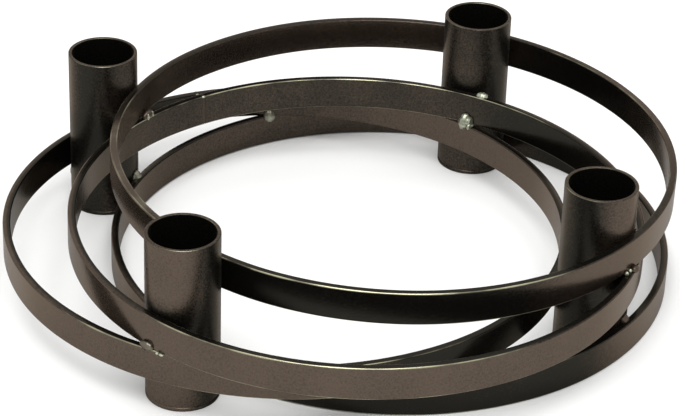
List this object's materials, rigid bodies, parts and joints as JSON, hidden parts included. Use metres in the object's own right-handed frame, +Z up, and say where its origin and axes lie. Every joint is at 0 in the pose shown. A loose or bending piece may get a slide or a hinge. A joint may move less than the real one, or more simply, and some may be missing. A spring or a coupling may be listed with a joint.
{
  "type": "advent candle holder",
  "caption": "Table-top advent candle holder of flat-bar rings, stacked off-centre and tack-welded around upright tube sockets for straight candles.",
  "frame": {"origin": "middle of the footprint, on the surface that the tubes stand on", "axes": "+Z up along the tubes; +X along the longer side; -Y towards the side that the front ring is pushed to"},
  "size_m": [0.2386, 0.2217, 0.0615],
  "materials": {
    "coated_bar": "bronze-black metallic coating on rolled flat bar, satin",
    "coated_tube": "bronze-black metallic coating on steel tube, satin",
    "coated_weld": "bronze-black metallic coating over weld beads, slightly glossier"
  },
  "bodies": {
    "root": {"bottom_ring": "coated_bar", "left_ring": "coated_bar", "front_ring": "coated_bar", "top_ring": "coated_bar", "back_left_tube": "coated_tube", "front_left_tube": "coated_tube", "back_right_tube": "coated_tube", "front_right_tube": "coated_tube", "back_left_base": "coated_tube", "front_left_base": "coated_tube", "back_right_base": "coated_tube", "front_right_base": "coated_tube", "bottom_ring_seam": "coated_weld", "left_ring_seam": "coated_weld", "front_ring_seam": "coated_weld", "top_ring_seam": "coated_weld", "left_ring_on_bottom_ring_back_weld": "coated_weld", "left_ring_on_bottom_ring_front_weld": "coated_weld", "front_ring_on_left_ring_back_weld": "coated_weld", "front_ring_on_left_ring_front_weld": "coated_weld", "top_ring_on_front_ring_back_weld": "coated_weld", "top_ring_on_front_ring_front_weld": "coated_weld", "back_left_tube_to_bottom_ring_weld": "coated_weld", "back_left_tube_to_left_ring_weld": "coated_weld", "front_left_tube_to_bottom_ring_weld": "coated_weld", "front_left_tube_to_top_ring_weld": "coated_weld", "back_right_tube_to_front_ring_weld": "coated_weld", "back_right_tube_to_left_ring_weld": "coated_weld", "front_right_tube_to_bottom_ring_weld": "coated_weld", "front_right_tube_to_top_ring_weld": "coated_weld"}
  },
  "joints": []
}
